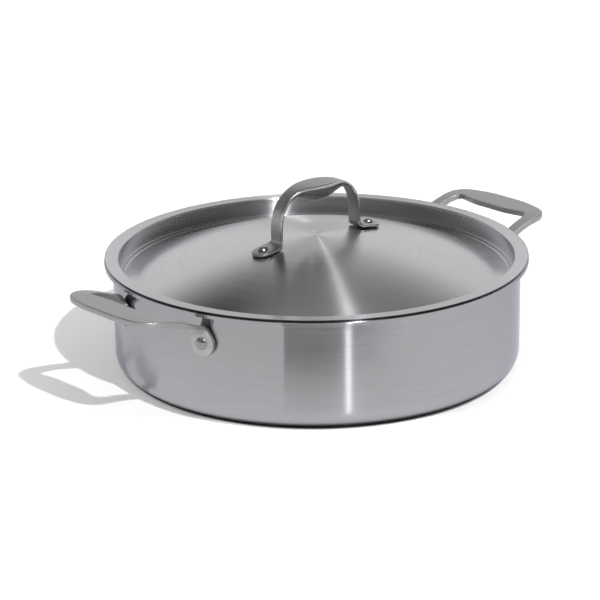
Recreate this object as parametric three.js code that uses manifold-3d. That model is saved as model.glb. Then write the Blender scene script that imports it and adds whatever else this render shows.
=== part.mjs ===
// Rondeau: a wide, shallow two-handled stainless pot with a recessed, domed lid.
// Millimetres, +Z up, origin on the floor at the middle of the base, handles on the X axis.
import * as THREE from 'three';
import { mergeVertices } from 'three/addons/utils/BufferGeometryUtils.js';
import Module from 'manifold-3d';

// Pot shell: one clad sheet, drawn deep, with a rim that flares out, turns over and droops to its lip.
const WALL_R = 153.8;
const POT_HEIGHT = 86.7;
const POT_SHEET = 2.5;
const CORNER_R = 16.5;
const FLARE_R = 3.4;
const LIP_PAST_FLARE = 2.8;

// Lid: one thin sheet, flat flange, straight well wall, narrow ledge and dome.
const LID_SHEET = 0.9;
const FLANGE_INSET = 0.3;
const WELL_CLEARANCE = 1.2;
const ROLL_R = 1.3;
const WELL_DEPTH = 13.8;
const FOOT_R = 0.8;
const LEDGE_WIDTH = 3.8;
const VALLEY_R = 30;
const DOME_RISE = 28;

// Loop handles: one cast strap each, two ears on the wall, a broad bar at the outer end.
const EAR_ANGLE = THREE.MathUtils.degToRad(17.1);
const EAR_HALF = 9.8;
const EAR_THICK = 4;
const EAR_DROP = 23.9;
const EAR_NECK = 4.4;
const LOOP_REACH = 41.8;
const LOOP_HALF_SPAN = 44.2;
const LOOP_ABOVE_RIM = 2.5;
const LOOP_SQUARENESS = 7;
const LEG_ARCH = 1.55;
const LOOP_THICK = 4.6;
const LEG_HALF = 5;
const BAR_HALF = 11.5;
const BAR_TILT = 0.05;
const CORNER_SWELL = 0.7;

// Where each change of section lies along half a loop, as shares of the way from ear to bar middle.
const LOOP_NECKS = [-0.05, 0.08];
const LOOP_TWISTS = [0, 0.3];
const LOOP_SWELLS = [0.35, 0.53];
const LOOP_SLIMS = [0.53, 0.75];
const LOOP_BROADENS = [0.4, 0.85];
const LOOP_TILTS = [0.5, 0.9];

// Lid handle: one bent strap with round feet and a leaf-shaped grip.
const ARCH_FOOT_X = 52.6;
const ARCH_FOOT_HALF = 8.7;
const ARCH_HALF_SPAN = 40.4;
const ARCH_HEIGHT = 41.4;
const ARCH_SQUARENESS = 3.1;
const ARCH_THICK = 2.8;
const ARCH_LEG_HALF = 5.9;
const ARCH_GRIP_HALF = 11;
const ARCH_BELLY = 11;
const ARCH_BEND_R = 4;

// Where the lid strap widens and thickens, as shares of the way from the leg's foot to the top.
const ARCH_BROADENS = [0.5, 1];
const ARCH_FILLS = [0.46, 0.96];

// Rivets: solid, domed outside, formed low inside.
const POT_RIVET = { shank: 1.7, head: 4.7, rise: 2.4, inner: 5.2, innerRise: 1.6 };
const LID_RIVET = { shank: 1.6, head: 4, rise: 2.1, inner: 4.2, innerRise: 1.3 };

// Fits: the gap left at every seat and round every shank.
const SEAT_GAP = 0.3;
const SHANK_GAP = 0.2;

// Fineness of the faceted surfaces.
const TURN_STEPS = 72;
const RIVET_STEPS = 20;
const ARC_STEPS = 3;
const DOME_STEPS = 5;
const SECTION_STEPS = 16;
const SECTION_SQUARENESS = 4.5;
const BELLY_SQUARENESS = 2.4;
const PAD_STEPS = 5;
const PAD_FIRST = 0.35;
const STRAP_STEPS = 22;
const STRAP_CROWDING = 1.3;
const GRIP_STEPS = 13;

// Sizes that follow from the ones above.
const LIP_R = WALL_R + FLARE_R + LIP_PAST_FLARE;
const EAR_RIVET_Z = POT_HEIGHT - EAR_DROP;
const LOOP_TOP_Z = POT_HEIGHT + LOOP_ABOVE_RIM;
const POT_GRIP = EAR_THICK + POT_SHEET + SEAT_GAP;
const LID_GRIP = ARCH_THICK + LID_SHEET + SEAT_GAP;
const POT_INNER_R = WALL_R - POT_SHEET;
const FLANGE_R = LIP_R - FLANGE_INSET;
const FLANGE_Z = POT_HEIGHT + SEAT_GAP + LID_SHEET;
const WELL_R = POT_INNER_R - WELL_CLEARANCE - LID_SHEET;
const LEDGE_Z = FLANGE_Z - WELL_DEPTH;
const LEDGE_OUT_R = WELL_R - FOOT_R;
const LEDGE_IN_R = LEDGE_OUT_R - LEDGE_WIDTH;
const DOME_EDGE_ANGLE = 2 * Math.atan(DOME_RISE / LEDGE_IN_R);
const DOME_R = LEDGE_IN_R / Math.sin(DOME_EDGE_ANGLE) - VALLEY_R;
const APEX_Z = LEDGE_Z + DOME_RISE;

const wasm = await Module();
wasm.setup();

function solidOf(geometry) {
  const bare = geometry.clone();
  bare.deleteAttribute('normal');
  bare.deleteAttribute('uv');
  const merged = mergeVertices(bare);
  const vertProperties = new Float32Array(merged.attributes.position.array);
  const triVerts = new Uint32Array(merged.index.array);
  return new wasm.Manifold(new wasm.Mesh({ numProp: 3, vertProperties, triVerts }));
}

function geometryOf(solid) {
  const mesh = solid.getMesh();
  const geometry = new THREE.BufferGeometry();
  geometry.setAttribute('position', new THREE.BufferAttribute(new Float32Array(mesh.vertProperties), 3));
  geometry.setIndex(new THREE.BufferAttribute(new Uint32Array(mesh.triVerts), 1));
  return geometry;
}

function drilled(geometry, drills) {
  let solid = solidOf(geometry);
  for (const drill of drills) solid = solid.subtract(solidOf(drill));
  return geometryOf(solid);
}

// Profile points run up the outside and back down the inside, so faces point outward.
function turned(points, steps) {
  return new THREE.LatheGeometry(points, steps).rotateX(Math.PI / 2);
}

function arc(cx, cy, radius, from, to, steps) {
  const curve = new THREE.EllipseCurve(cx, cy, radius, radius, from, to, to < from);
  return curve.getPoints(steps);
}

function smooth(low, high, [from, to], u) {
  return THREE.MathUtils.lerp(low, high, THREE.MathUtils.smoothstep(u, from, to));
}

// One skin of the pot sheet, from the axis to the lip, set in from the outer skin by `inset`.
// Both skins bend round the middle of the flare until they meet the lip's upright cut.
function potSkin(inset) {
  const flareZ = POT_HEIGHT - POT_SHEET - FLARE_R;
  const bendR = FLARE_R + inset;
  const lipAngle = Math.acos(LIP_PAST_FLARE / bendR);
  return [
    new THREE.Vector2(0, inset),
    ...arc(WALL_R - CORNER_R, CORNER_R, CORNER_R - inset, -Math.PI / 2, 0, 2 * ARC_STEPS),
    ...arc(WALL_R + FLARE_R, flareZ, bendR, Math.PI, Math.PI / 2, ARC_STEPS),
    ...arc(WALL_R + FLARE_R, flareZ, bendR, Math.PI / 2, lipAngle, ARC_STEPS).slice(1),
  ];
}

// One skin of the lid sheet, from the flange edge to the axis, set down from the top skin by `inset`.
function lidSkin(inset) {
  const rollCentre = new THREE.Vector2(WELL_R + ROLL_R, FLANGE_Z - ROLL_R);
  const footCentre = new THREE.Vector2(LEDGE_OUT_R, LEDGE_Z + FOOT_R);
  const valleyFrom = -Math.PI / 2;
  const valleyTo = valleyFrom - DOME_EDGE_ANGLE;
  const domeFrom = Math.PI / 2 - DOME_EDGE_ANGLE;
  const dome = arc(0, APEX_Z - DOME_R, DOME_R - inset, domeFrom, Math.PI / 2, DOME_STEPS);
  dome[DOME_STEPS].x = 0;
  return [
    new THREE.Vector2(FLANGE_R, FLANGE_Z - inset),
    ...arc(rollCentre.x, rollCentre.y, ROLL_R - inset, Math.PI / 2, Math.PI, ARC_STEPS),
    ...arc(footCentre.x, footCentre.y, FOOT_R + inset, 0, -Math.PI / 2, ARC_STEPS),
    ...arc(LEDGE_IN_R, LEDGE_Z + VALLEY_R, VALLEY_R + inset, valleyFrom, valleyTo, ARC_STEPS),
    ...dome.slice(1),
  ];
}

function domeHeight(radius) {
  return APEX_Z - DOME_R + Math.sqrt(DOME_R * DOME_R - radius * radius);
}

// A rivet stood on its axis: z = 0 is the seat of the outer head, the shank runs down by `grip`.
function rivet(size, grip) {
  const bulge = (radius, rise) => (radius * radius + rise * rise) / (2 * rise);
  const headR = bulge(size.head, size.rise);
  const innerR = bulge(size.inner, size.innerRise);
  const headSpread = Math.asin(size.head / headR);
  const innerSpread = Math.asin(size.inner / innerR);
  const top = Math.PI / 2;
  const seat = -grip - 2 * SEAT_GAP;
  const head = arc(0, size.rise - headR, headR, top - headSpread, top, ARC_STEPS + 1);
  const foot = arc(0, seat - size.innerRise + innerR, innerR, -top, innerSpread - top, ARC_STEPS);
  head[ARC_STEPS + 1].x = 0;
  foot[0].x = 0;
  const shank = [new THREE.Vector2(size.shank, seat), new THREE.Vector2(size.shank, 0)];
  return turned([...foot, ...shank, ...head], RIVET_STEPS);
}

// The hole for a rivet, centred on the seat between the two pieces and longer than both.
function drill(size, grip) {
  const radius = size.shank + SHANK_GAP;
  const length = 2 * (grip + SEAT_GAP);
  return new THREE.CylinderGeometry(radius, radius, length, RIVET_STEPS).rotateX(Math.PI / 2);
}

// Turns a piece made along +Z so that +Z follows `direction`, and moves its origin to `point`.
function placed(geometry, point, direction) {
  const turn = new THREE.Quaternion().setFromUnitVectors(new THREE.Vector3(0, 0, 1), direction);
  return geometry.applyQuaternion(turn).translate(point.x, point.y, point.z);
}

function signedPower(value, power) {
  return Math.sign(value) * Math.abs(value) ** power;
}

// A strap swept through stations, each a rounded-box section in its own across and face directions;
// `belly` is extra, rounder thickness on the side away from the face.
function strap(stations) {
  const positions = [];
  const index = [];
  for (const { at, across, face, half, thick, belly = 0 } of stations) {
    const fullness = THREE.MathUtils.clamp(belly / thick, 0, 1);
    const underSquareness = THREE.MathUtils.lerp(SECTION_SQUARENESS, BELLY_SQUARENESS, fullness);
    for (let k = 0; k < SECTION_STEPS; k += 1) {
      const turn = ((k + 0.5) / SECTION_STEPS) * 2 * Math.PI;
      const upper = Math.sin(turn) > 0;
      const power = 2 / (upper ? SECTION_SQUARENESS : underSquareness);
      const depth = upper ? thick / 2 : thick / 2 + belly;
      const wide = signedPower(Math.cos(turn), power) * half;
      const high = signedPower(Math.sin(turn), power) * depth;
      const point = at.clone().addScaledVector(across, wide).addScaledVector(face, high);
      positions.push(point.x, point.y, point.z);
    }
  }
  for (let s = 0; s + 1 < stations.length; s += 1) {
    for (let k = 0; k < SECTION_STEPS; k += 1) {
      const a = s * SECTION_STEPS + k;
      const b = s * SECTION_STEPS + ((k + 1) % SECTION_STEPS);
      const c = b + SECTION_STEPS;
      const d = a + SECTION_STEPS;
      index.push(a, b, c, a, c, d);
    }
  }
  const last = (stations.length - 1) * SECTION_STEPS;
  for (let k = 1; k + 1 < SECTION_STEPS; k += 1) {
    index.push(0, k + 1, k, last, last + k, last + k + 1);
  }
  const geometry = new THREE.BufferGeometry();
  geometry.setAttribute('position', new THREE.Float32BufferAttribute(positions, 3));
  geometry.setIndex(index);
  return solidOf(geometry).volume() > 0 ? geometry : flipped(geometry);
}

function flipped(geometry) {
  const index = geometry.index.array;
  for (let i = 0; i < index.length; i += 3) {
    [index[i + 1], index[i + 2]] = [index[i + 2], index[i + 1]];
  }
  return geometry;
}

// The second half of a strap is the first one mirrored, walked backwards.
function withMirror(half, axis) {
  const mirror = (vector) => vector.clone().setComponent(axis, -vector.getComponent(axis));
  const other = half.slice(0, -1).reverse().map((station) => ({
    ...station,
    at: mirror(station.at),
    across: mirror(station.across),
    face: mirror(station.face),
  }));
  return [...half, ...other];
}

// Ear geometry of the loop on the +X side: outward normal of the ear and middle of its thickness.
const earNormal = new THREE.Vector3(Math.cos(EAR_ANGLE), Math.sin(EAR_ANGLE), 0);
const earMiddleR = WALL_R + SEAT_GAP + EAR_THICK / 2;
const UP = new THREE.Vector3(0, 0, 1);

// Middle line of one half of the loop above the ear: up and out along the leg, round the corner
// and along the bar to the X axis.
class LoopLine extends THREE.Curve {
  getPoint(t, target = new THREE.Vector3()) {
    const turn = (t * Math.PI) / 2;
    const out = Math.sin(turn) ** (2 / LOOP_SQUARENESS);
    const side = Math.cos(turn) ** (2 / LOOP_SQUARENESS);
    const ear = earNormal.clone().multiplyScalar(earMiddleR).setZ(EAR_RIVET_Z + EAR_NECK);
    const top = LOOP_TOP_Z - LOOP_THICK / 2;
    const x = THREE.MathUtils.lerp(ear.x, WALL_R + LOOP_REACH, out);
    const y = LOOP_HALF_SPAN * side + (ear.y - LOOP_HALF_SPAN) * (1 - out) ** 2;
    const lift = (1 - (1 - out) ** LEG_ARCH) ** (1 / LEG_ARCH);
    return target.set(x, y, THREE.MathUtils.lerp(ear.z, top, lift));
  }
}

// How far station `i` of a round pad lies from its middle, as a share of the pad's radius.
function padReach(i) {
  return Math.cos(((i + PAD_FIRST) / PAD_STEPS) * (Math.PI / 2));
}

function loopStations() {
  const stations = [];
  const inward = earNormal.clone().negate();
  for (let i = 0; i < PAD_STEPS; i += 1) {
    const below = padReach(i);
    stations.push({
      at: earNormal.clone().multiplyScalar(earMiddleR).setZ(EAR_RIVET_Z - EAR_HALF * below),
      across: new THREE.Vector3().crossVectors(UP, inward),
      face: inward,
      half: EAR_HALF * Math.sqrt(1 - below * below),
      thick: EAR_THICK,
    });
  }
  const line = new LoopLine();
  for (let i = 0; i <= STRAP_STEPS; i += 1) {
    const u = (i / STRAP_STEPS) ** STRAP_CROWDING;
    const along = i === 0 ? UP.clone() : line.getTangentAt(u);
    if (i === STRAP_STEPS) along.set(0, -1, 0);
    const face = inward.clone().lerp(UP, smooth(0, 1, LOOP_TWISTS, u));
    face.addScaledVector(along, -face.dot(along)).normalize();
    const across = new THREE.Vector3().crossVectors(along, face);
    face.addScaledVector(across, smooth(0, BAR_TILT, LOOP_TILTS, u)).normalize();
    across.crossVectors(along, face);
    const neck = smooth(EAR_HALF, LEG_HALF, LOOP_NECKS, u);
    const swell = smooth(0, CORNER_SWELL, LOOP_SWELLS, u) - smooth(0, CORNER_SWELL, LOOP_SLIMS, u);
    const broadening = smooth(0, BAR_HALF - LEG_HALF, LOOP_BROADENS, u);
    stations.push({
      at: line.getPointAt(u).addScaledVector(across, -swell),
      across,
      face,
      half: neck + swell + broadening,
      thick: smooth(EAR_THICK, LOOP_THICK, LOOP_TWISTS, u),
    });
  }
  return withMirror(stations, 1);
}

// Middle line of the lid handle from the bend at the foot of a leg to the top of the arch.
class ArchLine extends THREE.Curve {
  constructor(base) {
    super();
    this.base = base;
  }

  getPoint(t, target = new THREE.Vector3()) {
    const turn = (t * Math.PI) / 2;
    const side = Math.cos(turn) ** (2 / ARCH_SQUARENESS);
    const rise = Math.sin(turn) ** (2 / ARCH_SQUARENESS);
    const top = APEX_Z + ARCH_HEIGHT - ARCH_THICK / 2;
    return target.set(this.base.x * side, 0, this.base.z + (top - this.base.z) * rise);
  }
}

const footSlope = Math.asin(ARCH_FOOT_X / DOME_R);
const footNormal = new THREE.Vector3(Math.sin(footSlope), 0, Math.cos(footSlope));
const footInward = new THREE.Vector3(-Math.cos(footSlope), 0, Math.sin(footSlope));
const footSeat = new THREE.Vector3(ARCH_FOOT_X, 0, domeHeight(ARCH_FOOT_X));
const footMiddle = footSeat.clone().addScaledVector(footNormal, SEAT_GAP + ARCH_THICK / 2);

function archStations() {
  const across = new THREE.Vector3(0, 1, 0);
  const stations = [];
  for (let i = 0; i < PAD_STEPS; i += 1) {
    const out = padReach(i);
    stations.push({
      at: footMiddle.clone().addScaledVector(footInward, -ARCH_FOOT_HALF * out),
      across,
      face: footNormal,
      half: ARCH_FOOT_HALF * Math.sqrt(1 - out * out),
      thick: ARCH_THICK,
    });
  }
  const legX = ARCH_HALF_SPAN - ARCH_THICK / 2;
  const sweep = Math.PI / 2 - footSlope;
  const run = (footMiddle.x - legX) / Math.cos(footSlope) - ARCH_BEND_R * Math.tan(sweep / 2);
  const bendCentre = footMiddle.clone()
    .addScaledVector(footInward, run)
    .addScaledVector(footNormal, ARCH_BEND_R);
  for (let i = 0; i < ARC_STEPS; i += 1) {
    const turn = (i / ARC_STEPS) * sweep;
    const face = footNormal.clone()
      .multiplyScalar(Math.cos(turn))
      .addScaledVector(footInward, -Math.sin(turn));
    stations.push({
      at: bendCentre.clone().addScaledVector(face, -ARCH_BEND_R),
      across,
      face,
      half: smooth(ARCH_FOOT_HALF, ARCH_LEG_HALF, [0, ARC_STEPS], i),
      thick: ARCH_THICK,
    });
  }
  const line = new ArchLine(new THREE.Vector3(legX, 0, bendCentre.z));
  for (let i = 0; i <= GRIP_STEPS; i += 1) {
    const u = i / GRIP_STEPS;
    const along = line.getTangentAt(u);
    if (i === 0) along.copy(UP);
    if (i === GRIP_STEPS) along.set(-1, 0, 0);
    stations.push({
      at: line.getPointAt(u),
      across,
      face: new THREE.Vector3().crossVectors(across, along),
      half: smooth(ARCH_LEG_HALF, ARCH_GRIP_HALF, ARCH_BROADENS, u),
      thick: ARCH_THICK,
      belly: smooth(0, ARCH_BELLY, ARCH_FILLS, u),
    });
  }
  return withMirror(stations, 0);
}

// Rivet places: side -1 is the handle on -X, and the front rivet of a handle lies towards -Y.
const earSeatR = WALL_R + 2 * SEAT_GAP + EAR_THICK;
const earRivets = [];
for (const [side, sideName] of [[-1, 'left'], [1, 'right']]) {
  for (const [end, endName] of [[-1, 'front'], [1, 'back']]) {
    const direction = new THREE.Vector3(side * earNormal.x, end * earNormal.y, 0);
    earRivets.push({ side, direction, name: `pot_rivet_${sideName}_${endName}` });
  }
}
const lidRivets = [[-1, 'left'], [1, 'right']].map(([side, sideName]) => {
  const mirror = new THREE.Vector3(side, 1, 1);
  const direction = footNormal.clone().multiply(mirror);
  const seat = footSeat.clone().multiply(mirror);
  return { direction, seat, sideName };
});

function earDrill({ direction }) {
  const middle = direction.clone().multiplyScalar(WALL_R).setZ(EAR_RIVET_Z);
  return placed(drill(POT_RIVET, POT_GRIP), middle, direction);
}

function footDrill({ direction, seat }) {
  return placed(drill(LID_RIVET, LID_GRIP), seat, direction);
}

const steel = {
  wall: new THREE.MeshStandardMaterial({ color: 0xa9a9ad, roughness: 0.35, metalness: 1 }),
  lid: new THREE.MeshStandardMaterial({ color: 0xb2b3b6, roughness: 0.32, metalness: 1 }),
  cast: new THREE.MeshStandardMaterial({ color: 0xa3a3a6, roughness: 0.45, metalness: 1 }),
  strap: new THREE.MeshStandardMaterial({ color: 0x8f8f90, roughness: 0.4, metalness: 1 }),
  rivet: new THREE.MeshStandardMaterial({ color: 0xb9b8b4, roughness: 0.2, metalness: 1 }),
};

const rondeau = new THREE.Group();
rondeau.name = 'rondeau';

function add(name, geometry, material) {
  const mesh = new THREE.Mesh(geometry, material.clone());
  mesh.name = name;
  rondeau.add(mesh);
}

const potProfile = [...potSkin(0), ...potSkin(POT_SHEET).reverse()];
add('pot_shell', drilled(turned(potProfile, TURN_STEPS), earRivets.map(earDrill)), steel.wall);

for (const [side, sideName] of [[-1, 'left'], [1, 'right']]) {
  const loop = strap(loopStations());
  if (side < 0) loop.rotateZ(Math.PI);
  const drills = earRivets.filter((place) => place.side === side).map(earDrill);
  add(`loop_handle_${sideName}`, drilled(loop, drills), steel.cast);
}

for (const { direction, name } of earRivets) {
  const seat = direction.clone().multiplyScalar(earSeatR).setZ(EAR_RIVET_Z);
  add(name, placed(rivet(POT_RIVET, POT_GRIP), seat, direction), steel.rivet);
}

const lidProfile = [...lidSkin(LID_SHEET).reverse(), ...lidSkin(0)];
add('lid_shell', drilled(turned(lidProfile, TURN_STEPS), lidRivets.map(footDrill)), steel.lid);

add('lid_handle', drilled(strap(archStations()), lidRivets.map(footDrill)), steel.strap);

for (const { direction, seat, sideName } of lidRivets) {
  const head = seat.clone().addScaledVector(direction, ARCH_THICK + 2 * SEAT_GAP);
  add(`lid_rivet_${sideName}`, placed(rivet(LID_RIVET, LID_GRIP), head, direction), steel.rivet);
}

export default rondeau;
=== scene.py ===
"""A rondeau: a wide, shallow stainless pot with riveted loop handles and a recessed, domed lid.

Metres, +Z up, origin on the floor at the middle of the base, loop handles on the X axis.
"""
import math

import bpy
from mathutils import Euler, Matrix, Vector


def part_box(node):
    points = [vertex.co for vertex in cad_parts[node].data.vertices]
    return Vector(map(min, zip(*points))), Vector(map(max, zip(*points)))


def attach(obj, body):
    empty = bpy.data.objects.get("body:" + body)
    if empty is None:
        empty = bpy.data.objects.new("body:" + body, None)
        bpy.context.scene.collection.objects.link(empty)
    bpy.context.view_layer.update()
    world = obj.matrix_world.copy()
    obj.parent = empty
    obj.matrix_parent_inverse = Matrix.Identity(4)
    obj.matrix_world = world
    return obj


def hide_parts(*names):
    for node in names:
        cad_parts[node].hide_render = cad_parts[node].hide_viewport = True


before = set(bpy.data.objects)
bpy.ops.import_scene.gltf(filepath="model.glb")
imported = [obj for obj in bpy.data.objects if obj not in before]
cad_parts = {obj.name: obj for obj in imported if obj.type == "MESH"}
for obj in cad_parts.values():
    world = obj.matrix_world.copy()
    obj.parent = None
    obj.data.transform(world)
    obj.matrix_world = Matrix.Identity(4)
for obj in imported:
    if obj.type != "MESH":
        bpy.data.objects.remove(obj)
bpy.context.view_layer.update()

# Pot body: one sheet of clad stainless steel, drawn deep into a flat base and a straight wall. Its rim flares
# out, turns over and droops to the lip. It is brushed while it spins, so its grooves run level round it.
pot_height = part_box("pot_shell")[1].z
lip_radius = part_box("pot_shell")[1].x
wall_radius = 0.1538
pot_sheet = 0.0025
base_corner = 0.0165
flare = 0.0034
lip_edge = 0.0005
mouth_radius = wall_radius - pot_sheet
flare_middle = wall_radius + flare
lip_past_flare = lip_radius - flare_middle


def droop(bend):
    """Where a skin bent round the flare's middle turns down, and where it meets the lip's upright cut."""
    fall = math.asin(lip_past_flare / bend)
    turn_radius = flare_middle + bend * math.tan(fall / 2)
    return turn_radius, bend * (1 - math.cos(fall))


top_turn, top_fall = droop(flare + pot_sheet)
under_turn, under_fall = droop(flare)
pot_profile = {
    "floor middle": (0, pot_sheet, 0),
    "floor corner": (mouth_radius, pot_sheet, base_corner - pot_sheet),
    "mouth": (mouth_radius, pot_height, flare + pot_sheet),
    "rim top": (top_turn, pot_height, flare + pot_sheet),
    "lip top": (lip_radius, pot_height - top_fall, lip_edge),
    "lip underside": (lip_radius, pot_height - pot_sheet - under_fall, lip_edge),
    "rim underside": (under_turn, pot_height - pot_sheet, flare),
    "wall top": (wall_radius, pot_height - pot_sheet, flare),
    "base corner": (wall_radius, 0, base_corner),
    "base middle": (0, 0, 0),
}


def linear(code):
    """The linear colour of an sRGB hex code."""
    shares = [int(code[i:i + 2], 16) / 255 for i in (1, 3, 5)]
    return [s / 12.92 if s <= 0.04045 else ((s + 0.055) / 1.055) ** 2.4 for s in shares] + [1]


def add(tree, kind, settings=None, links=None):
    """Adds one node, with its properties and plain inputs set and its other inputs linked."""
    made = tree.nodes.new(kind)
    for name, value in (settings or {}).items():
        if isinstance(name, str) and hasattr(made, name):
            setattr(made, name, value)
        else:
            made.inputs[name].default_value = value
    for name, source in (links or {}).items():
        tree.links.new(source, made.inputs[name])
    return made


def turned(tree, profile, steps):
    """Adds to a tree the nodes that round a profile's corners and turn it about the Z axis.

    Every corner is an input of its own: its radius, its height and the radius it is rounded to. The attribute
    `run` keeps how far along the profile each ring lies.
    """
    bend_steps = 12
    ring_spacing = 0.004
    weld = 1e-5
    axis_radius = weld / 10
    for corner in profile:
        tree.interface.new_socket(corner, in_out="INPUT", socket_type="NodeSocketVector")
    sizes = add(tree, "NodeGroupInput")
    index = add(tree, "GeometryNodeInputIndex")
    corner = add(tree, "GeometryNodeIndexSwitch", {"data_type": "VECTOR"}, {"Index": index.outputs[0]})
    while len(corner.index_switch_items) < len(profile):
        corner.index_switch_items.new()
    for i, name in enumerate(profile):
        tree.links.new(sizes.outputs[name], corner.inputs[i + 1])
    size = add(tree, "ShaderNodeSeparateXYZ", links={0: corner.outputs[0]})
    down = add(tree, "ShaderNodeMath", {"operation": "MULTIPLY", 1: -1}, {0: size.outputs["Y"]})
    spot = add(tree, "ShaderNodeCombineXYZ", links={"X": size.outputs["X"], "Y": down.outputs[0]})
    line = add(tree, "GeometryNodeMeshLine", {"Count": len(profile)})
    bent = add(tree, "GeometryNodeSetPosition", links={0: line.outputs[0], "Position": spot.outputs[0]})
    outline = add(tree, "GeometryNodeMeshToCurve", links={0: bent.outputs[0]})
    rounded = add(
        tree, "GeometryNodeFilletCurve", {"mode": "POLY", "Count": bend_steps, "Limit Radius": True},
        {"Curve": outline.outputs[0], "Radius": size.outputs["Z"]},
    )
    here = add(tree, "GeometryNodeInputPosition")
    after = add(tree, "ShaderNodeMath", {"operation": "ADD", 1: 1}, {0: index.outputs[0]})
    there = add(
        tree, "GeometryNodeFieldAtIndex", {"data_type": "FLOAT_VECTOR", "domain": "POINT"},
        {"Index": after.outputs[0], "Value": here.outputs[0]},
    )
    gap = add(
        tree, "ShaderNodeVectorMath", {"operation": "DISTANCE"}, {0: here.outputs[0], 1: there.outputs[0]}
    )
    cuts = add(tree, "ShaderNodeMath", {"operation": "DIVIDE", 1: ring_spacing}, {0: gap.outputs["Value"]})
    ringed = add(
        tree, "GeometryNodeSubdivideCurve", links={"Curve": rounded.outputs[0], "Cuts": cuts.outputs[0]}
    )
    length = add(tree, "GeometryNodeSplineParameter")
    measured = add(
        tree, "GeometryNodeStoreNamedAttribute", {"data_type": "FLOAT", "domain": "POINT", "Name": "run"},
        {"Geometry": ringed.outputs[0], "Value": length.outputs["Length"]},
    )
    axis = add(
        tree, "GeometryNodeCurvePrimitiveCircle",
        {"mode": "RADIUS", "Resolution": steps, "Radius": axis_radius},
    )
    body = add(
        tree, "GeometryNodeCurveToMesh",
        links={"Curve": axis.outputs[0], "Profile Curve": measured.outputs[0]},
    )
    closed = add(tree, "GeometryNodeMergeByDistance", {"Distance": weld}, {0: body.outputs[0]})
    smoothed = add(tree, "GeometryNodeSetShadeSmooth", links={0: closed.outputs[0]})
    return smoothed.outputs[0]


def placed(name, mesh, body, nodes):
    """Puts a finished mesh into the scene in place of its plain solids."""
    piece = bpy.data.objects.new(name, mesh)
    bpy.context.scene.collection.objects.link(piece)
    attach(piece, body)
    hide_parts(*nodes)
    return piece


def grown(tree, last, sizes, material, seats=()):
    """Ends a tree in one material, runs it on some seats with these sizes and keeps the plain mesh.

    A seat is a point and the way that what sits on it looks.
    """
    tree.interface.new_socket("Geometry", in_out="OUTPUT", socket_type="NodeSocketGeometry")
    real = add(tree, "GeometryNodeRealizeInstances", links={0: last})
    dressed = add(tree, "GeometryNodeSetMaterial", {"Material": material}, {0: real.outputs[0]})
    add(tree, "NodeGroupOutput", links={0: dressed.outputs[0]})
    seed_mesh = bpy.data.meshes.new(tree.name)
    seed_mesh.from_pydata([point for point, way in seats], [], [])
    ways = seed_mesh.attributes.new("way", "FLOAT_VECTOR", "POINT")
    for entry, (point, way) in zip(ways.data, seats):
        entry.vector = way
    seed = bpy.data.objects.new(tree.name, seed_mesh)
    bpy.context.scene.collection.objects.link(seed)
    growth = seed.modifiers.new(tree.name, "NODES")
    growth.node_group = tree
    for socket in tree.interface.items_tree:
        if socket.name in sizes:
            growth[socket.identifier] = sizes[socket.name]
    grown_seed = seed.evaluated_get(bpy.context.evaluated_depsgraph_get())
    mesh = bpy.data.meshes.new_from_object(grown_seed)
    bpy.data.objects.remove(seed)
    return mesh


def fading(tree, source, span, levels):
    """Adds a soft step: from one level to another while a value goes through a span."""
    step = add(
        tree, "ShaderNodeMapRange",
        {"interpolation_type": "SMOOTHSTEP", "From Min": span[0], "From Max": span[1],
         "To Min": levels[0], "To Max": levels[1]},
        {"Value": source},
    )
    return step.outputs["Result"]


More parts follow.
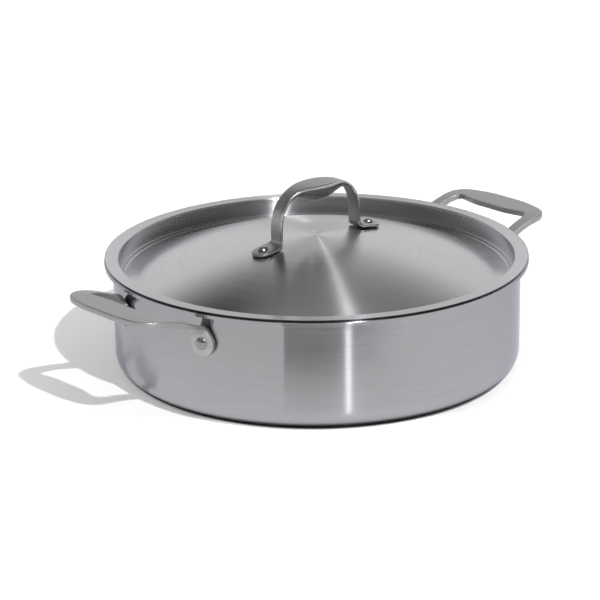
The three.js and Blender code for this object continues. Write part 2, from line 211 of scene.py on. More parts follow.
def brushed_stainless(name, colour, groove_colour, grazing_colour, roughness, anisotropy):
    """Stainless sheet brushed while it turns: hair-fine grooves round the axis.

    The grooves smear every reflection across themselves into streaks, up the wall and out over the lid, and
    the metal takes the grazing colour where it is seen at a low angle. The real grooves are about 0.1 mm
    apart; they are drawn coarser here, so that they show.
    """
    groove_pitch = 0.0007
    groove_length = 0.060
    groove_octaves = 3
    groove_raggedness = 0.65
    groove_depth = 0.0001
    groove_strength = 0.1
    groove_spread = 0.02
    cloud_size = 0.045
    cloud_octaves = 2
    cloud_spread = 0.015
    quarter_turn = 0.25
    material = bpy.data.materials.new(name)
    material.use_nodes = True
    tree = material.node_tree
    metal = tree.nodes["Principled BSDF"]
    place = add(tree, "ShaderNodeTexCoord")
    flat = add(
        tree, "ShaderNodeVectorMath", {"operation": "MULTIPLY", 1: (1, 1, 0)}, {0: place.outputs["Object"]}
    )
    bearing = add(tree, "ShaderNodeVectorMath", {"operation": "NORMALIZE"}, {0: flat.outputs[0]})
    run = add(tree, "ShaderNodeAttribute", {"attribute_name": "run"})
    pitch = add(tree, "ShaderNodeMath", {"operation": "DIVIDE", 1: groove_pitch}, {0: run.outputs["Fac"]})
    climb = add(tree, "ShaderNodeCombineXYZ", links={"Z": pitch.outputs[0]})
    turn_scale = wall_radius / groove_length
    spot = add(
        tree, "ShaderNodeVectorMath", {"operation": "MULTIPLY_ADD", 1: (turn_scale,) * 3},
        {0: bearing.outputs[0], 2: climb.outputs[0]},
    )
    grooves = add(
        tree, "ShaderNodeTexNoise",
        {"Scale": 1, "Detail": groove_octaves, "Roughness": groove_raggedness}, {"Vector": spot.outputs[0]},
    )
    clouds = add(
        tree, "ShaderNodeTexNoise", {"Scale": 1 / cloud_size, "Detail": cloud_octaves},
        {"Vector": place.outputs["Object"]},
    )
    tint = add(
        tree, "ShaderNodeMix", {"data_type": "RGBA", 6: linear(groove_colour), 7: linear(colour)},
        {0: grooves.outputs["Fac"]},
    )
    grain = add(
        tree, "ShaderNodeMapRange",
        {"To Min": roughness - groove_spread, "To Max": roughness + groove_spread},
        {"Value": grooves.outputs["Fac"]},
    )
    wiped = add(
        tree, "ShaderNodeMapRange", {"To Min": -cloud_spread, "To Max": cloud_spread},
        {"Value": clouds.outputs["Fac"]},
    )
    rough = add(
        tree, "ShaderNodeMath", {"operation": "ADD"}, {0: grain.outputs["Result"], 1: wiped.outputs["Result"]}
    )
    bump = add(
        tree, "ShaderNodeBump", {"Strength": groove_strength, "Distance": groove_depth},
        {"Height": grooves.outputs["Fac"]},
    )
    round_axis = add(tree, "ShaderNodeTangent", {"direction_type": "RADIAL", "axis": "Z"})
    tree.links.new(tint.outputs[2], metal.inputs["Base Color"])
    tree.links.new(rough.outputs[0], metal.inputs["Roughness"])
    tree.links.new(bump.outputs[0], metal.inputs["Normal"])
    tree.links.new(round_axis.outputs[0], metal.inputs["Tangent"])
    metal.inputs["Metallic"].default_value = 1
    metal.inputs["Specular Tint"].default_value = linear(grazing_colour)
    metal.inputs["Anisotropic"].default_value = anisotropy
    metal.inputs["Anisotropic Rotation"].default_value = quarter_turn
    return material


def overlaid(material, socket, value, share):
    """Lays another value over the colour or the roughness that a material has, as far as a share tells."""
    tree = material.node_tree
    metal = tree.nodes["Principled BSDF"]
    before = metal.inputs[socket].links[0].from_socket
    kind, under, over = ("RGBA", 6, 7) if socket == "Base Color" else ("FLOAT", 2, 3)
    mixed = add(tree, "ShaderNodeMix", {"data_type": kind, over: value}, {0: share, under: before})
    tree.links.new([out for out in mixed.outputs if out.enabled][0], metal.inputs[socket])


pot_steel = brushed_stainless(
    "brushed_clad_stainless", colour="#ADADB0", groove_colour="#9C9C9F", grazing_colour="#D6D8DF",
    roughness=0.17, anisotropy=1,
)

# The inside has a satin finish, from the middle of its floor up the wall to where the rim flares. There
# the colour is painted lighter too: painted light in the pot's shaded inside.
painted_light_inside_colour = "#DCDCDA"
satin_roughness = 0.3
satin_fade = 0.004
inner_corner = base_corner - pot_sheet
inside_run = mouth_radius + pot_height - flare - 2 * pot_sheet - (2 - math.pi / 2) * inner_corner
pot_run = add(pot_steel.node_tree, "ShaderNodeAttribute", {"attribute_name": "run"})
inside = fading(
    pot_steel.node_tree, pot_run.outputs["Fac"], (inside_run, inside_run + satin_fade), (1, 0)
)
overlaid(pot_steel, "Base Color", linear(painted_light_inside_colour), inside)
overlaid(pot_steel, "Roughness", satin_roughness, inside)
turning_steps = 240
pot_tree = bpy.data.node_groups.new("pot_turning", "GeometryNodeTree")
pot_mesh = grown(pot_tree, turned(pot_tree, pot_profile, turning_steps), pot_profile, pot_steel)
placed("pot_body", pot_mesh, "pot", ["pot_shell"])

# Loop handles: two castings of stainless steel. Each has a round ear on the wall at either end, two legs
# that spring up and outwards under the lid's flange, and a broad bar that tilts a little towards the hand.
seat_gap = 0.0003
ear_angle = math.radians(17.1)
ear_half = 0.0098
ear_thick = 0.004
ear_neck = 0.0044
rivet_drop = 0.0239
rivet_height = pot_height - rivet_drop
loop_reach = 0.0418
loop_half_span = 0.0442
loop_rise = 0.0025
loop_top = pot_height + loop_rise
loop_squareness = 7
leg_arch = 1.55
loop_section = 8
loop_thick = 0.0046
leg_half = 0.005
bar_half = 0.0115
bar_tilt = 0.05
corner_swell = 0.0007
ear_out = Vector((math.cos(ear_angle), math.sin(ear_angle), 0))
ear_middle = ear_out * (wall_radius + seat_gap + ear_thick / 2)
up = Vector((0, 0, 1))

# Where the leg parts from the wall, as shares of its reach, and then where each change of section lies along
# half a loop, as shares of the way from the ear to the middle of the bar.
parts = (0, 0.2)
necks = (-0.033, 0.08)
twists = (0, 0.3)
swells = (0.35, 0.53)
slims = (0.53, 0.75)
broadens = (0.4, 0.85)
tilts = (0.5, 0.9)


def smooth(low, high, span, share):
    """Eases from low to high while the share goes through the span."""
    step = min(max((share - span[0]) / (span[1] - span[0]), 0), 1)
    return low + (high - low) * step * step * (3 - 2 * step)


class Line:
    """A smooth line given by a function of 0 to 1, walked by shares of its length."""

    def __init__(self, point):
        self.point = point
        count = 200
        self.times = [i / count for i in range(count + 1)]
        spots = [point(time) for time in self.times]
        self.lengths = [0]
        for before, after in zip(spots, spots[1:]):
            self.lengths.append(self.lengths[-1] + (after - before).length)

    def time(self, share):
        """The time at which a share of the length has been walked."""
        goal = share * self.lengths[-1]
        for i in range(1, len(self.lengths)):
            if goal <= self.lengths[i]:
                break
        part = (goal - self.lengths[i - 1]) / (self.lengths[i] - self.lengths[i - 1])
        return self.times[i - 1] + min(part, 1) * (self.times[i] - self.times[i - 1])

    def at(self, share):
        """The point at a share of the length."""
        return self.point(self.time(share))

    def along(self, share):
        """The direction in which the line runs at a share of the length."""
        nudge = 1e-4
        time = self.time(share)
        return (self.point(min(time + nudge, 1)) - self.point(max(time - nudge, 0))).normalized()


def loop_point(time):
    """Middle line of half a loop: up and out along the leg, round the corner, to the middle of the bar.

    The turn is paced so that equal times are about equal steps at both ends of the line.
    """
    start = time ** (loop_squareness / 2)
    end = (1 - time) ** (loop_squareness / 2)
    turn = start / (start + end) * math.pi / 2
    out = math.sin(turn) ** (2 / loop_squareness)
    side = max(math.cos(turn), 0) ** (2 / loop_squareness)
    lift = (1 - (1 - out) ** leg_arch) ** (1 / leg_arch)
    foot = ear_middle + up * (rivet_height + ear_neck)
    return Vector((
        foot.x + (wall_radius + loop_reach - foot.x) * out * smooth(0, 1, parts, out),
        loop_half_span * side + (foot.y - loop_half_span) * (1 - out) ** 2,
        foot.z + (loop_top - loop_thick / 2 - foot.z) * lift,
    ))


def pad_reaches(steps, sweep):
    """How far the stations of a round pad lie from its middle, as shares of its radius.

    They go through an angle about the middle, from just inside the pad's tip.
    """
    first_step = 0.1
    return [math.cos((i + first_step) / steps * sweep) for i in range(steps)]


def pad_fullness(reach):
    """How thick a pad is at a station, as a share: its rim is ground round."""
    flatness = 10
    roundness = 4
    return (1 - reach ** flatness) ** (1 / roundness)


def loop_stations(steps, pad_steps):
    """Stations of half a loop, from the tip of the ear to the middle of the bar.

    They crowd towards the ear, where the leg bends out and twists.
    """
    crowding = 1.3
    inward = -ear_out
    stations = []
    for reach in pad_reaches(pad_steps, math.pi / 2 + math.asin(ear_neck / ear_half)):
        stations.append({
            "at": ear_middle + up * (rivet_height - ear_half * reach),
            "across": up.cross(inward),
            "face": inward,
            "half": ear_half * math.sqrt(1 - reach * reach),
            "thick": ear_thick * pad_fullness(reach),
        })
    line = Line(loop_point)
    for i in range(steps + 1):
        share = (i / steps) ** crowding
        along = line.along(share)
        if i == 0:
            along = up
        if i == steps:
            along = Vector((0, -1, 0))
        face = inward.lerp(up, smooth(0, 1, twists, share))
        face = (face - along * face.dot(along)).normalized()
        face = (face + along.cross(face) * smooth(0, bar_tilt, tilts, share)).normalized()
        across = along.cross(face)
        swell = smooth(0, corner_swell, swells, share) - smooth(0, corner_swell, slims, share)
        half = smooth(ear_half, leg_half, necks, share) + smooth(0, bar_half - leg_half, broadens, share)
        stations.append({
            "at": line.at(share) - across * swell,
            "across": across,
            "face": face,
            "half": half + swell,
            "thick": smooth(ear_thick, loop_thick, twists, share),
        })
    return stations


def mirrored(stations, axis):
    """A strap's stations, with its other half added: the first half mirrored and walked backwards."""
    other = []
    for station in reversed(stations[:-1]):
        twin = dict(station)
        for name in ("at", "across", "face"):
            twin[name] = station[name].copy()
            twin[name][axis] *= -1
        other.append(twin)
    return stations + other


def signed_power(value, power):
    """A power that keeps the sign of its value."""
    return math.copysign(abs(value) ** power, value)


def strap(name, stations, squareness, material):
    """A mesh swept through stations, each a rounded box in its own across and face directions.

    It carries the way along the strap and across it, and how far each point lies off the flat faces. A belly
    makes the lower side deeper and rounder.
    """
    section_steps = 56
    belly_squareness = 2.4
    edge_span = (0.8, 0.97)
    points = []
    polish_and_painted_sides = []
    travel = []
    offset = []
    gone = 0
    for i, station in enumerate(stations):
        belly = station.get("belly", 0)
        fullness = min(belly / station["thick"], 1)
        under = squareness + (belly_squareness - squareness) * fullness
        gone += (station["at"] - stations[max(i - 1, 0)]["at"]).length
        for k in range(section_steps):
            turn = (k + 0.5) / section_steps * 2 * math.pi
            upper = math.sin(turn) > 0
            power = 2 / (squareness if upper else under)
            depth = station["thick"] / 2 + (0 if upper else belly)
            wide = signed_power(math.cos(turn), power)
            high = signed_power(math.sin(turn), power)
            points.append(
                station["at"] + station["across"] * wide * station["half"] + station["face"] * high * depth
            )
            polish_and_painted_sides.append(smooth(1, 0, edge_span, abs(high)))
            travel.append(gone)
            offset.append(wide * station["half"])
    faces = []
    for s in range(len(stations) - 1):
        for k in range(section_steps):
            near = s * section_steps
            far = near + section_steps
            beside = (k + 1) % section_steps
            faces.append((near + k, far + k, far + beside, near + beside))
    last = (len(stations) - 1) * section_steps
    faces.append(tuple(range(section_steps)))
    faces.append(tuple(reversed(range(last, last + section_steps))))
    mesh = bpy.data.meshes.new(name)
    mesh.from_pydata(points, [], faces)
    mesh.shade_smooth()
    for title, values in (("polish_and_painted_sides", polish_and_painted_sides), ("travel", travel), ("offset", offset)):
        mesh.attributes.new(title, "FLOAT", "POINT").data.foreach_set("value", values)
    mesh.materials.append(material)
    return mesh


def cast_stainless(name, colour, painted_side_colour, face_roughness, edge_roughness):
    """Investment-cast stainless, linished along its faces and buffed along its edges.

    The faces are satin with fine lines along the strap and a slight cast pebble; the edges shine a little
    more. The sides and edges are also painted in a colour of their own: painted shade where it is darker
    than the faces, a painted highlight where it is lighter. Real linishing lines are about 0.2 mm apart;
    they are drawn coarser here, so that they show.
    """
    line_pitch = 0.0006
    line_length = 0.012
    line_octaves = 2
    line_spread = 0.06
    pebble = 0.0016
    pebble_octaves = 2
    grain_depth = 0.0001
    grain_strength = 0.12
    material = bpy.data.materials.new(name)
    material.use_nodes = True
    tree = material.node_tree
    metal = tree.nodes["Principled BSDF"]
    place = add(tree, "ShaderNodeTexCoord")
    travel = add(tree, "ShaderNodeAttribute", {"attribute_name": "travel"})
    offset = add(tree, "ShaderNodeAttribute", {"attribute_name": "offset"})
    polish_and_painted_sides = add(tree, "ShaderNodeAttribute", {"attribute_name": "polish_and_painted_sides"})
    spot = add(tree, "ShaderNodeCombineXYZ", links={"X": travel.outputs["Fac"], "Y": offset.outputs["Fac"]})
    drawn = add(
        tree, "ShaderNodeVectorMath", {"operation": "MULTIPLY", 1: (1 / line_length, 1 / line_pitch, 1)},
        {0: spot.outputs[0]},
    )
    lines = add(
        tree, "ShaderNodeTexNoise", {"Scale": 1, "Detail": line_octaves}, {"Vector": drawn.outputs[0]}
    )
    pebbles = add(
        tree, "ShaderNodeTexNoise", {"Scale": 1 / pebble, "Detail": pebble_octaves},
        {"Vector": place.outputs["Object"]},
    )
    tint = add(
        tree, "ShaderNodeMix", {"data_type": "RGBA", 6: linear(colour), 7: linear(painted_side_colour)},
        {0: polish_and_painted_sides.outputs["Fac"]},
    )
    satin = add(
        tree, "ShaderNodeMapRange",
        {"To Min": face_roughness - line_spread, "To Max": face_roughness + line_spread},
        {"Value": lines.outputs["Fac"]},
    )
    rough = add(
        tree, "ShaderNodeMix", {"data_type": "FLOAT", 3: edge_roughness},
        {0: polish_and_painted_sides.outputs["Fac"], 2: satin.outputs["Result"]},
    )
    grain = add(
        tree, "ShaderNodeMath", {"operation": "ADD"}, {0: lines.outputs["Fac"], 1: pebbles.outputs["Fac"]}
    )
    bump = add(
        tree, "ShaderNodeBump", {"Strength": grain_strength, "Distance": grain_depth},
        {"Height": grain.outputs[0]},
    )
    tree.links.new(tint.outputs[2], metal.inputs["Base Color"])
    tree.links.new(rough.outputs[0], metal.inputs["Roughness"])
    tree.links.new(bump.outputs[0], metal.inputs["Normal"])
    metal.inputs["Metallic"].default_value = 1
    return material


# The loops' sides and edges are painted darker than their faces: painted shade.
loop_steel = cast_stainless(
    "satin_cast_stainless", colour="#BCBCBC", painted_side_colour="#A8A7A7", face_roughness=0.6, edge_roughness=0.45
)
loop_steps = 110
ear_steps = 32
for half_turn, side_name in ((Vector((1, 1, 1)), "right"), (Vector((-1, -1, 1)), "left")):
    loop_line = mirrored(loop_stations(loop_steps, ear_steps), axis=1)
    for station in loop_line:
        for name in ("at", "across", "face"):
            station[name] = station[name] * half_turn
    loop_mesh = strap("loop_" + side_name, loop_line, loop_section, loop_steel)
    placed("loop_" + side_name, loop_mesh, "pot", ["loop_handle_" + side_name])

# Pot rivets: four solid stainless rivets, set from outside through ear and wall. The outer head is a plain
# polished dome; the inner one is flattened where it was formed.
pot_rivet = {"head": 0.0047, "rise": 0.0024, "shank": 0.0017, "inner": 0.0052, "inner rise": 0.0016}


def rivet_profile(rivet, grip):
    """Corners of a rivet stood on its outer head's seat, with `grip` between its two heads."""
    head_edge = 0.0002

    def dome(radius, rise):
        """Where the flat top of a head turns down, and the radius that rounds it into a dome."""
        bulge = (radius * radius + rise * rise) / (2 * rise)
        slope = math.asin(radius / bulge)
        return bulge * math.tan(slope / 2), bulge

    head_turn, head_bulge = dome(rivet["head"], rivet["rise"])
    inner_turn, inner_bulge = dome(rivet["inner"], rivet["inner rise"])
    return {
        "head top": (0, rivet["rise"], 0),
        "head shoulder": (head_turn, rivet["rise"], head_bulge),
        "head edge": (rivet["head"], 0, head_edge),
        "shank top": (rivet["shank"], 0, 0),
        "shank foot": (rivet["shank"], -grip, 0),
        "inner edge": (rivet["inner"], -grip, head_edge),
        "inner shoulder": (inner_turn, -grip - rivet["inner rise"], inner_bulge),
        "inner middle": (0, -grip - rivet["inner rise"], 0),
    }


def riveted(name, rivet, grip, seats, material):
    """A mesh of like rivets, one set on every seat."""
    rivet_steps = 48
    profile = rivet_profile(rivet, grip)
    tree = bpy.data.node_groups.new(name, "GeometryNodeTree")
    tree.interface.new_socket("seats", in_out="INPUT", socket_type="NodeSocketGeometry")
    one = turned(tree, profile, rivet_steps)
    start = add(tree, "NodeGroupInput")
    way = add(tree, "GeometryNodeInputNamedAttribute", {"data_type": "FLOAT_VECTOR", "Name": "way"})
    lean = add(
        tree, "FunctionNodeAlignRotationToVector", {"axis": "Z"}, {"Vector": way.outputs["Attribute"]}
    )
    rivets = add(
        tree, "GeometryNodeInstanceOnPoints",
        links={"Points": start.outputs["seats"], "Instance": one, "Rotation": lean.outputs[0]},
    )
    return grown(tree, rivets.outputs[0], profile, material, seats)


def polished_stainless(name, colour, shade, roughness):
    """A stainless rivet head, upset and buffed: it shines, and has a few fine handling marks."""
    mark = 0.0012
    mark_octaves = 3
    mark_depth = 0.0001
    mark_strength = 0.1
    shine = 0.06
    dullness = 0.08
    material = bpy.data.materials.new(name)
    material.use_nodes = True
    tree = material.node_tree
    metal = tree.nodes["Principled BSDF"]
    place = add(tree, "ShaderNodeTexCoord")
    marks = add(
        tree, "ShaderNodeTexNoise", {"Scale": 1 / mark, "Detail": mark_octaves},
        {"Vector": place.outputs["Object"]},
    )
    tint = add(
        tree, "ShaderNodeMix", {"data_type": "RGBA", 6: linear(shade), 7: linear(colour)},
        {0: marks.outputs["Fac"]},
    )
    rough = add(
        tree, "ShaderNodeMapRange", {"To Min": roughness - shine, "To Max": roughness + dullness},
        {"Value": marks.outputs["Fac"]},
    )
    bump = add(
        tree, "ShaderNodeBump", {"Strength": mark_strength, "Distance": mark_depth},
        {"Height": marks.outputs["Fac"]},
    )
    tree.links.new(tint.outputs[2], metal.inputs["Base Color"])
    tree.links.new(rough.outputs[0], metal.inputs["Roughness"])
    tree.links.new(bump.outputs[0], metal.inputs["Normal"])
    metal.inputs["Metallic"].default_value = 1
    return material


rivet_steel = polished_stainless(
    "buffed_stainless_rivet", colour="#9E9C9A", shade="#8E8C8A", roughness=0.22
)

# A rivet's grip spans what it holds and the small gap at each of its three seats.
pot_grip = ear_thick + pot_sheet + 3 * seat_gap
pot_seat_radius = wall_radius + ear_thick + 2 * seat_gap
pot_seats = []
for side in (-1, 1):
    for end in (-1, 1):
        way = Vector((side * ear_out.x, end * ear_out.y, 0))
        pot_seats.append((way * pot_seat_radius + up * rivet_height, way))
pot_rivet_mesh = riveted("pot_rivets", pot_rivet, pot_grip, pot_seats, rivet_steel)
pot_rivet_nodes = [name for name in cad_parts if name.startswith("pot_rivet")]
placed("pot_rivets", pot_rivet_mesh, "pot", pot_rivet_nodes)

# Lid body: one thin pressed sheet of stainless steel. A flat flange rests on the rim, a straight wall goes
# down into the pot, and a narrow ledge, a shallow groove and a soft valley lead up to the dome. All of it is
# brushed in rings.
lid_sheet = 0.0009
flange_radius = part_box("lid_shell")[1].x
flange_top = pot_height + seat_gap + lid_sheet
flange_edge = 0.0001
flange_burr = 0.0008
well_clearance = 0.0012
well_radius = mouth_radius - well_clearance - lid_sheet
well_depth = 0.0138
roll = 0.0013
ledge_top = flange_top - well_depth
well_foot = 0.0008
ledge_width = 0.0038
dome_foot = well_radius - well_foot - ledge_width
valley = 0.030
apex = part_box("lid_shell")[1].z
dome_slope = 2 * math.atan((apex - ledge_top) / dome_foot)
dome_radius = dome_foot / math.sin(dome_slope) - valley
dome_bend = math.tan(dome_slope / 2)
groove_depth = 0.0005
groove_edge = 0.0005
lid_profile = {
    "dome middle": (0, apex, 0),
    "dome": (dome_radius * dome_bend, apex, dome_radius),
    "valley": (dome_foot - valley * dome_bend, ledge_top - groove_depth, valley),
    "groove": (dome_foot, ledge_top - groove_depth, groove_edge),
    "ledge": (dome_foot + groove_depth, ledge_top, groove_edge),
    "well foot": (well_radius, ledge_top, well_foot),
    "roll": (well_radius, flange_top, roll),
    "flange top": (flange_radius, flange_top, flange_edge),
    "flange underside": (flange_radius, flange_top - lid_sheet, flange_burr),
    "inner roll": (well_radius + lid_sheet, flange_top - lid_sheet, roll - lid_sheet),
    "inner well foot": (well_radius + lid_sheet, ledge_top - lid_sheet, well_foot + lid_sheet),
    "inner valley": (dome_foot - (valley + lid_sheet) * dome_bend, ledge_top - lid_sheet, valley + lid_sheet),
    "inner dome": ((dome_radius - lid_sheet) * dome_bend, apex - lid_sheet, dome_radius - lid_sheet),
    "inner dome middle": (0, apex - lid_sheet, 0),
}
lid_steel = brushed_stainless(
    "brushed_stainless_lid_sheet", colour="#CECED0", groove_colour="#BCBCBE", grazing_colour="#F4F4F6",
    roughness=0.2, anisotropy=1,
)

# The flange's sheared edge is painted dark, a dark line all round the lid: the painted shadow of the gap
# between the flange and the pot's rim.
gap_shadow_colour = "#3C3C3E"
gap_shadow_depth = 0.0006
gap_shadow_fade = 0.0004
gap_shadow_start = flange_radius - gap_shadow_depth
lid_nodes = lid_steel.node_tree
lid_place = add(lid_nodes, "ShaderNodeTexCoord")
lid_flat = add(
    lid_nodes, "ShaderNodeVectorMath", {"operation": "MULTIPLY", 1: (1, 1, 0)},
    {0: lid_place.outputs["Object"]},
)
lid_reach = add(lid_nodes, "ShaderNodeVectorMath", {"operation": "LENGTH"}, {0: lid_flat.outputs[0]})
gap_shadow = fading(
    lid_nodes, lid_reach.outputs["Value"], (gap_shadow_start, gap_shadow_start + gap_shadow_fade), (0, 1)
)
overlaid(lid_steel, "Base Color", linear(gap_shadow_colour), gap_shadow)
lid_tree = bpy.data.node_groups.new("lid_turning", "GeometryNodeTree")
lid_mesh = grown(lid_tree, turned(lid_tree, lid_profile, turning_steps), lid_profile, lid_steel)
placed("lid_body", lid_mesh, "lid", ["lid_shell"])

# Lid handle: one stainless casting, a strap with a round foot at either end, straight legs, and a grip that
# broadens into a leaf and grows deep and round below, where the fingers close on it.
foot_reach = 0.0526
foot_half = 0.0087
arch_half_span = 0.0404
arch_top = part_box("lid_handle")[1].z
arch_squareness = 3.1
arch_section = 4.5
arch_thick = 0.0028
arch_leg_half = 0.0059
grip_half = 0.011
grip_belly = 0.011
foot_bend = 0.004
grip_broadens = (0.5, 1)
grip_fills = (0.46, 0.96)
foot_slope = math.asin(foot_reach / dome_radius)
foot_up = Vector((math.sin(foot_slope), 0, math.cos(foot_slope)))
foot_in = Vector((-math.cos(foot_slope), 0, math.sin(foot_slope)))
foot_seat = Vector((foot_reach, 0, apex - dome_radius + dome_radius * math.cos(foot_slope)))
foot_middle = foot_seat + foot_up * (seat_gap + arch_thick / 2)


def arch_stations(steps, pad_steps, bend_steps):
    """Stations of half the lid handle, from the tip of a foot to the top of the arch."""
    across = Vector((0, 1, 0))
    stations = []
    for reach in pad_reaches(pad_steps, math.pi / 2):
        stations.append({
            "at": foot_middle - foot_in * foot_half * reach,
            "across": across,
            "face": foot_up,
            "half": foot_half * math.sqrt(1 - reach * reach),
            "thick": arch_thick * pad_fullness(reach),
        })
    leg_reach = arch_half_span - arch_thick / 2
    sweep = math.pi / 2 - foot_slope
    walk = (foot_middle.x - leg_reach) / math.cos(foot_slope) - foot_bend * math.tan(sweep / 2)
    bend_middle = foot_middle + foot_in * walk + foot_up * foot_bend
    for i in range(bend_steps):
        turn = i / bend_steps * sweep
        face = foot_up * math.cos(turn) - foot_in * math.sin(turn)
        stations.append({
            "at": bend_middle - face * foot_bend,
            "across": across,
            "face": face,
            "half": smooth(foot_half, arch_leg_half, (0, bend_steps), i),
            "thick": arch_thick,
        })

    def arch_point(time):
        """Middle line of half the arch: up the leg, round the shoulder, to the middle of the grip."""
        turn = time * math.pi / 2
        side = max(math.cos(turn), 0) ** (2 / arch_squareness)
        rise = math.sin(turn) ** (2 / arch_squareness)
        top = arch_top - arch_thick / 2
        return Vector((leg_reach * side, 0, bend_middle.z + (top - bend_middle.z) * rise))

    line = Line(arch_point)
    for i in range(steps + 1):
        share = i / steps
        along = line.along(share)
        if i == 0:
            along = up
        if i == steps:
            along = Vector((-1, 0, 0))
        stations.append({
            "at": line.at(share),
            "across": across,
            "face": across.cross(along),
            "half": smooth(arch_leg_half, grip_half, grip_broadens, share),
            "thick": arch_thick,
            "belly": smooth(0, grip_belly, grip_fills, share),
        })
    return stations


# The grip's sides and edges are painted lighter than its faces: a painted highlight.
grip_steel = cast_stainless(
    "satin_cast_stainless_grip", colour="#A2A2A2", painted_side_colour="#AEACAA",
    face_roughness=0.4, edge_roughness=0.2,
)
arch_line = mirrored(arch_stations(steps=90, pad_steps=24, bend_steps=16), axis=0)
grip_mesh = strap("lid_grip", arch_line, arch_section, grip_steel)
placed("lid_grip", grip_mesh, "lid", ["lid_handle"])

# Lid rivets: one solid stainless rivet through each foot of the handle and the lid's sheet. The outer heads
# are domed like those of the pot, and the inner ones are low.
lid_rivet = {"head": 0.004, "rise": 0.0021, "shank": 0.0016, "inner": 0.0042, "inner rise": 0.0013}
lid_grip_length = arch_thick + lid_sheet + 3 * seat_gap
lid_seats = []
for side in (-1, 1):
    mirror = Vector((side, 1, 1))
    way = foot_up * mirror
    lid_seats.append((foot_seat * mirror + way * (arch_thick + 2 * seat_gap), way))
lid_rivet_mesh = riveted("lid_rivets", lid_rivet, lid_grip_length, lid_seats, rivet_steel)
placed("lid_rivets", lid_rivet_mesh, "lid", ["lid_rivet_left", "lid_rivet_right"])

# Floor: a sheet of matt white paper that runs on as the backdrop. It takes the pot's shadow, and glows a
# little of its own, so that it shows white to the eye and pale in the metal. Close round the base it is
# painted in deep shade, a painted contact shadow which only the metal shows.
floor_half = 12
floor_drop = 0.0001
floor_mesh = bpy.data.meshes.new("floor")
floor_mesh.from_pydata(
    [(x * floor_half, y * floor_half, -floor_drop) for x, y in ((-1, -1), (1, -1), (1, 1), (-1, 1))],
    [], [(0, 1, 2, 3)],
)
to_camera = Vector((-0.656, -0.754, 0))
to_right = Vector((0.754, -0.656, 0))

# The glow that the eye sees: nothing under the base, more from the wall outwards, and most before the pot,
# where the paper lies in full light. Spans are distances from the pot's middle.
base_span = (0.1405, 0.1445)
shadow_span = (0.15, 0.3)
shadow_glow = (0.31, 0.43)
front_span = (0.11, 0.135)
front_glow = 0.7

# The glow that the metal sees: strong near the pot, weaker far off and weakest to the left.
near_glow = 0.4
far_span = (0.16, 0.42)
left_to_right = (0, 0.25)
far_glow = (0.18, 0.32)
# The painted contact shade close round the base, seen only in the metal, has this span and the dark colour
# below.
contact_span = (0.1475, 0.1535)
paper_colour = "#F2F2F2"
contact_shade_colour = "#202020"
paper_roughness = 0.9

paper = bpy.data.materials.new("matt_white_paper")
paper.use_nodes = True
paper_nodes = paper.node_tree
paper_face = paper_nodes.nodes["Principled BSDF"]
paper_face.inputs["Roughness"].default_value = paper_roughness
paper_face.inputs["Specular IOR Level"].default_value = 0
paper_face.inputs["Emission Color"].default_value = (1, 1, 1, 1)
rays = add(paper_nodes, "ShaderNodeLightPath")
in_metal = add(
    paper_nodes, "ShaderNodeMath", {"operation": "MAXIMUM"},
    {0: rays.outputs["Is Glossy Ray"], 1: rays.outputs["Is Transmission Ray"]},
)
paper_place = add(paper_nodes, "ShaderNodeTexCoord").outputs["Object"]
from_middle = add(paper_nodes, "ShaderNodeVectorMath", {"operation": "LENGTH"}, {0: paper_place})
ahead = add(paper_nodes, "ShaderNodeVectorMath", {"operation": "DOT_PRODUCT", 1: to_camera}, {0: paper_place})
aside = add(paper_nodes, "ShaderNodeVectorMath", {"operation": "DOT_PRODUCT", 1: to_right}, {0: paper_place})
clear_of_base = fading(paper_nodes, from_middle.outputs["Value"], base_span, (0, 1))
in_shadow = fading(paper_nodes, from_middle.outputs["Value"], shadow_span, shadow_glow)
in_front = fading(paper_nodes, ahead.outputs["Value"], front_span, (0, 1))
whitened = add(
    paper_nodes, "ShaderNodeMix", {"data_type": "FLOAT", 3: front_glow}, {0: in_front, 2: in_shadow}
)
eye_glow = add(
    paper_nodes, "ShaderNodeMath", {"operation": "MULTIPLY"}, {0: whitened.outputs[0], 1: clear_of_base}
)
to_eye = add(
    paper_nodes, "ShaderNodeMath", {"operation": "MULTIPLY"},
    {0: rays.outputs["Is Camera Ray"], 1: eye_glow.outputs[0]},
)
far_off = fading(paper_nodes, from_middle.outputs["Value"], far_span, (0, 1))
far_level = fading(paper_nodes, aside.outputs["Value"], left_to_right, far_glow)
metal_glow = add(
    paper_nodes, "ShaderNodeMix", {"data_type": "FLOAT", 2: near_glow}, {0: far_off, 3: far_level}
)
close_in = fading(paper_nodes, from_middle.outputs["Value"], contact_span, (1, 0))
contact = add(paper_nodes, "ShaderNodeMath", {"operation": "MULTIPLY"}, {0: in_metal.outputs[0], 1: close_in})
dimmed = add(
    paper_nodes, "ShaderNodeMix", {"data_type": "FLOAT", 3: 0},
    {0: contact.outputs[0], 2: metal_glow.outputs[0]},
)
glow = add(
    paper_nodes, "ShaderNodeMath", {"operation": "MULTIPLY_ADD"},
    {0: in_metal.outputs[0], 1: dimmed.outputs[0], 2: to_eye.outputs[0]},
)
tone = add(
    paper_nodes, "ShaderNodeMix",
    {"data_type": "RGBA", 6: linear(paper_colour), 7: linear(contact_shade_colour)}, {0: contact.outputs[0]},
)
paper_nodes.links.new(tone.outputs[2], paper_face.inputs["Base Color"])
paper_nodes.links.new(glow.outputs[0], paper_face.inputs["Emission Strength"])
floor_mesh.materials.append(paper)
floor = bpy.data.objects.new("floor", floor_mesh)
bpy.context.scene.collection.objects.link(floor)

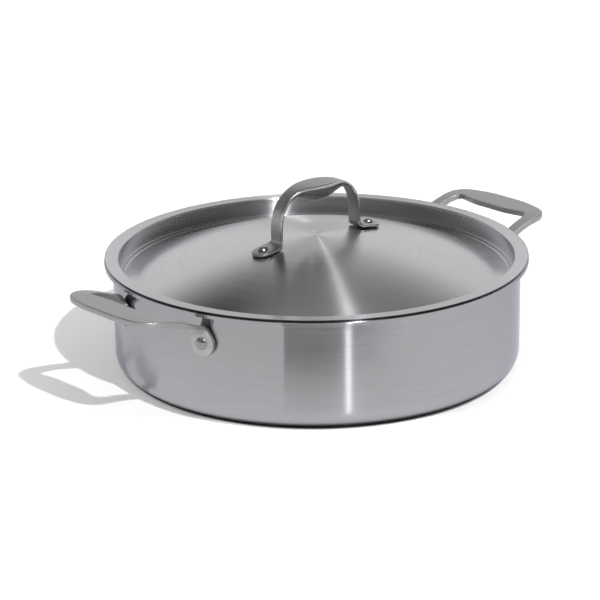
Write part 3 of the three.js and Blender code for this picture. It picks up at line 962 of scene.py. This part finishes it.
# Lamps: small and hard, all at the front. One lights only the paper and draws the pot's shadow on it. The
# others light only the metal: a high one draws the streak over the lid, a low one the streak up the wall.
lamp_spread = math.radians(1.2)
for lamp_name, to_lamp, energy, on_metal in (
    ("flash_on_floor", Vector((-0.120, -0.711, 0.693)), 2.3, False),
    ("flash_on_lid", Vector((-0.085, -0.510, 0.856)), 2.8, True),
    ("flash_on_wall", Vector((-0.419, -0.907, 0.026)), 0.42, True),
):
    light = bpy.data.lights.new(lamp_name, "SUN")
    light.energy = energy
    light.angle = lamp_spread
    lamp = bpy.data.objects.new(lamp_name, light)
    lamp.rotation_euler = to_lamp.to_track_quat("Z", "Y").to_euler()
    lamp.visible_glossy = on_metal
    lamp.visible_diffuse = not on_metal
    bpy.context.scene.collection.objects.link(lamp)

# Flag: a low upright card that stands before the pot and shows only in the metal. It is nearly black at
# its left end, grades to white at its right one, and draws the dark band on the wall.
flag_reach = 0.292
flag_left = -0.072
flag_right = 0.23
flag_height = 0.037
flag_grading = (-0.02, flag_right)
flag_levels = (0.06, 1)
flag_mesh = bpy.data.meshes.new("flag")
flag_corners = (
    (flag_left, 0), (flag_right, 0), (flag_right, flag_height), (flag_left, flag_height)
)
flag_mesh.from_pydata(
    [to_camera * flag_reach + to_right * across + up * rise for across, rise in flag_corners],
    [], [(0, 1, 2, 3)],
)
graded = bpy.data.materials.new("graded_card")
graded.use_nodes = True
graded_nodes = graded.node_tree
flag_face = graded_nodes.nodes["Principled BSDF"]
flag_face.inputs["Base Color"].default_value = (0, 0, 0, 1)
flag_face.inputs["Specular IOR Level"].default_value = 0
flag_face.inputs["Emission Strength"].default_value = 1
flag_place = add(graded_nodes, "ShaderNodeTexCoord")
along_flag = add(
    graded_nodes, "ShaderNodeVectorMath", {"operation": "DOT_PRODUCT", 1: to_right},
    {0: flag_place.outputs["Object"]},
)
grading = fading(graded_nodes, along_flag.outputs["Value"], flag_grading, flag_levels)
graded_nodes.links.new(grading, flag_face.inputs["Emission Color"])
flag_mesh.materials.append(graded)
flag = bpy.data.objects.new("flag", flag_mesh)
flag.visible_camera = False
flag.visible_diffuse = False
flag.visible_shadow = False
bpy.context.scene.collection.objects.link(flag)

# Studio: a room with a bright wall behind the pot, under a dim ceiling that is darker on the left. Its other
# walls are white along the horizon and dim above it, and a soft light hangs right overhead. Heights and ways
# are parts of a look of length 1: how far it goes up, to the right and to the back.
back_level = 0.87
ceiling_heights = (0.43, 0.78)
ceiling_ways = (-0.4, 0.4)
ceiling_levels = (0, 0.28)
horizon_level = 1
horizon_heights = (0.08, 0.3)
side_ways = (-0.9, 0.9)
side_levels = (0.2, 0.06)
back_ways = (-0.5, 0.4)
back_breadth = (0.5, 0.85)
overhead_heights = (0.82, 0.92)
overhead_level = 0.42
studio = bpy.data.worlds.new("studio")
studio.use_nodes = True
bpy.context.scene.world = studio
room = studio.node_tree
look = add(room, "ShaderNodeTexCoord").outputs["Generated"]
upward = add(room, "ShaderNodeSeparateXYZ", links={0: look}).outputs["Z"]
backward = add(room, "ShaderNodeVectorMath", {"operation": "DOT_PRODUCT", 1: -to_camera}, {0: look})
rightward = add(room, "ShaderNodeVectorMath", {"operation": "DOT_PRODUCT", 1: to_right}, {0: look})
sideward = add(room, "ShaderNodeMath", {"operation": "ABSOLUTE"}, {0: rightward.outputs["Value"]})
ceiling = fading(room, rightward.outputs["Value"], ceiling_ways, ceiling_levels)
at_ceiling = fading(room, upward, ceiling_heights, (0, 1))
back_wall = add(room, "ShaderNodeMix", {"data_type": "FLOAT", 2: back_level}, {0: at_ceiling, 3: ceiling})
dim = fading(room, rightward.outputs["Value"], side_ways, side_levels)
off_horizon = fading(room, upward, horizon_heights, (0, 1))
dim_walls = add(room, "ShaderNodeMix", {"data_type": "FLOAT", 2: horizon_level}, {0: off_horizon, 3: dim})
behind = fading(room, backward.outputs["Value"], back_ways, (0, 1))
between_sides = fading(room, sideward.outputs[0], back_breadth, (1, 0))
on_back_wall = add(room, "ShaderNodeMath", {"operation": "MULTIPLY"}, {0: behind, 1: between_sides})
walls = add(
    room, "ShaderNodeMix", {"data_type": "FLOAT"},
    {0: on_back_wall.outputs[0], 2: dim_walls.outputs[0], 3: back_wall.outputs[0]},
)
overhead = fading(room, upward, overhead_heights, (0, 1))
whole = add(
    room, "ShaderNodeMix", {"data_type": "FLOAT", 3: overhead_level}, {0: overhead, 2: walls.outputs[0]}
)
room.links.new(whole.outputs[0], room.nodes["Background"].inputs["Color"])

# Camera: a long lens at the height of a standing cook, looking down on the pot past its left loop. Its turn
# is in degrees about X, Y and Z.
lens_length = 168
camera_place = (-1.33350, -1.51256, 0.72348)
camera_turn = (71.530, 0.594, -41.235)
lens = bpy.data.cameras.new("camera")
lens.lens = lens_length
camera = bpy.data.objects.new("camera", lens)
camera.location = camera_place
camera.rotation_euler = Euler(math.radians(angle) for angle in camera_turn)
bpy.context.scene.collection.objects.link(camera)
bpy.context.scene.camera = camera
bpy.context.scene.view_settings.view_transform = "Standard"
